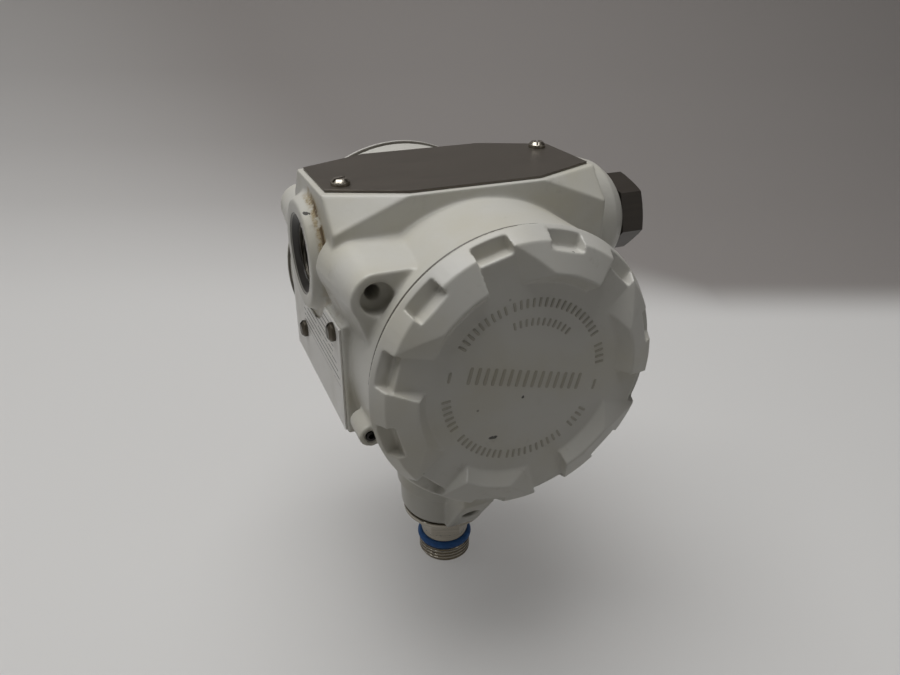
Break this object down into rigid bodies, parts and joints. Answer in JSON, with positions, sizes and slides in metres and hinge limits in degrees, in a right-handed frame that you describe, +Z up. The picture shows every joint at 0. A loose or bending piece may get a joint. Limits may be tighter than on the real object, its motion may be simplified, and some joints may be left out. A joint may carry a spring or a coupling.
{
  "type": "pressure transmitter",
  "caption": "Dual-compartment pressure transmitter with a round barrel housing, two lugged screw covers, a blanked and an open conduit entry, and a threaded steel nose with an O-ring.",
  "frame": {"origin": "centre of the steel nose's lower face", "axes": "+Z up along the neck and nose, -Y towards the front cover, -X towards the open conduit entry"},
  "size_m": [0.1168, 0.1196, 0.158],
  "materials": {
    "white_paint": "painted",
    "cover_paint": "painted",
    "plug_paint": "satin",
    "stainless": "satin",
    "capsule_steel": "satin",
    "plate_steel": "satin",
    "screw_steel": "satin",
    "dark_steel": "satin",
    "blue_seal": "matte",
    "black_seal": "matte",
    "board_green": "matte",
    "component_black": "matte",
    "terminal_black": "matte",
    "spacer_brass": "satin",
    "clamp_brass": "satin"
  },
  "bodies": {
    "sensor": {"process_connector": "stainless", "process_o_ring": "blue_seal", "neck_seal_ring": "black_seal", "isolating_diaphragm": "stainless", "sensor_capsule": "capsule_steel", "capsule_ring_nut": "capsule_steel"},
    "housing": {"housing_casting": "white_paint", "name_plate": "plate_steel", "side_plate": "plate_steel", "name_plate_screws": "screw_steel", "side_plate_screws": "screw_steel", "neck_set_screw": "dark_steel", "cover_lock_screw": "dark_steel", "conduit_plug": "plug_paint", "electronics_board": "board_green", "board_spacers": "spacer_brass", "board_screws": "screw_steel", "board_components": "component_black", "terminal_block": "terminal_black", "terminal_clamps": "clamp_brass", "terminal_screws": "screw_steel", "terminal_block_screws": "screw_steel", "earth_post": "clamp_brass", "earth_screw": "screw_steel", "feedthrough": "component_black"},
    "front_ring": {"front_cover_o_ring": "black_seal"},
    "front_cover": {"front_cover": "cover_paint"},
    "rear_ring": {"rear_cover_o_ring": "black_seal"},
    "rear_cover": {"rear_cover": "cover_paint"}
  },
  "joints": [
    {"name": "housing_turn", "type": "hinge", "parent": "sensor", "child": "housing", "pos_m": [0, 0, 0.035], "axis": [0, 0, 1], "range_deg": [-180, 180]},
    {"name": "front_cover_travel", "type": "slide", "parent": "housing", "child": "front_ring", "axis": [0, -1, 0], "range_m": [0, 0.012]},
    {"name": "front_cover_turn", "type": "hinge", "parent": "front_ring", "child": "front_cover", "pos_m": [0, -0.0525, 0.1095], "axis": [0, -1, 0], "range_deg": [0, 2160]},
    {"name": "rear_cover_travel", "type": "slide", "parent": "housing", "child": "rear_ring", "axis": [0, 1, 0], "range_m": [0, 0.012]},
    {"name": "rear_cover_turn", "type": "hinge", "parent": "rear_ring", "child": "rear_cover", "pos_m": [0, 0.0467, 0.1095], "axis": [0, 1, 0], "range_deg": [0, 2160]}
  ],
  "couplings": [
    {"joint": "front_cover_travel", "follows": "front_cover_turn", "m_per_rad": 0.00031831},
    {"joint": "rear_cover_travel", "follows": "rear_cover_turn", "m_per_rad": 0.00031831}
  ]
}
